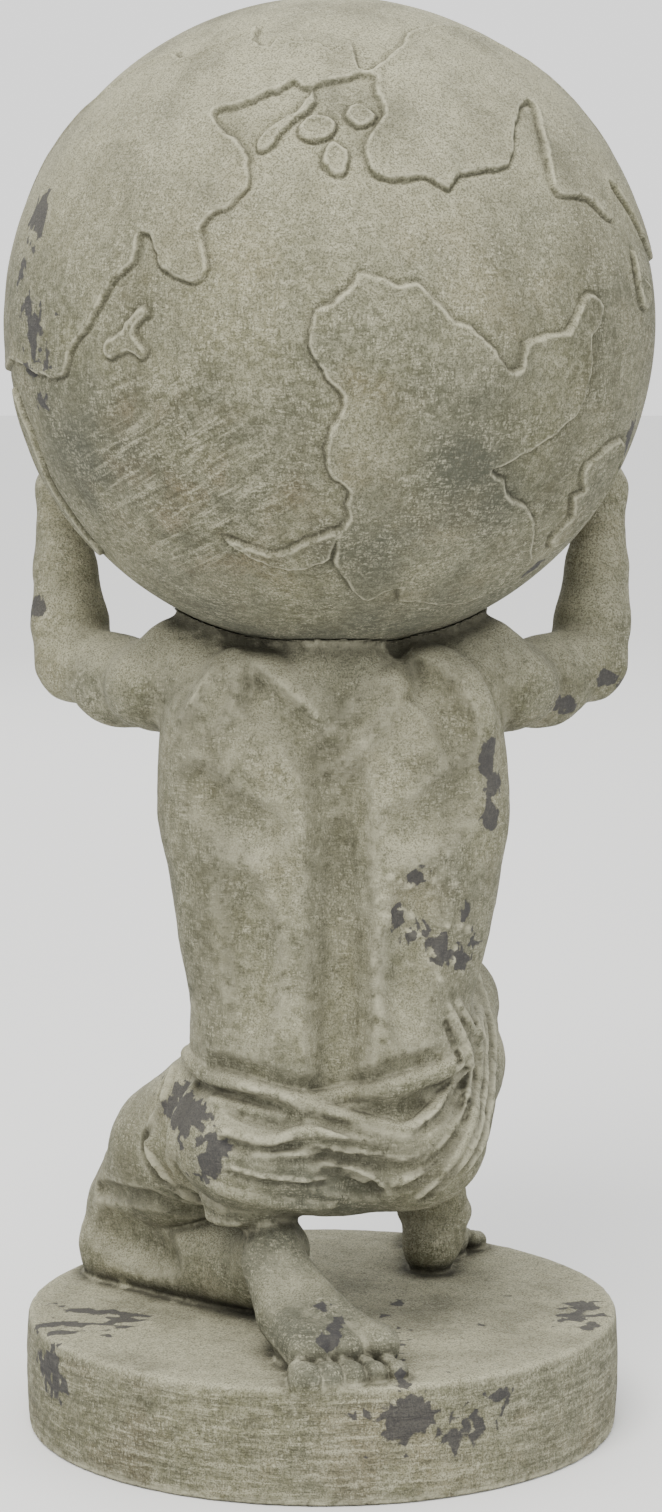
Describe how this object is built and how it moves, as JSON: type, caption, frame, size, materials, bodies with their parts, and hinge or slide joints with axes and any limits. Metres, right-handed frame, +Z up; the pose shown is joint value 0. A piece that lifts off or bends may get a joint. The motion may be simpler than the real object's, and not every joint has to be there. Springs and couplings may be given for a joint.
{
  "type": "garden statue",
  "caption": "Cast-stone garden statue: a kneeling muscular figure in a loincloth on a round base carries a map globe with raised land on its shoulders.",
  "frame": {"origin": "centre of the base's flat underside", "axes": "+Z up; +Y the way the figure faces; +X to the figure's right"},
  "size_m": [0.2907, 0.2915, 0.6501],
  "materials": {
    "figure_stone": "weathered cast stone, greenish grey with dark patches",
    "globe_stone": "weathered cast stone, lighter and drier on top"
  },
  "bodies": {
    "root": {"kneeling_figure_with_base": "figure_stone", "globe": "globe_stone"}
  },
  "joints": []
}
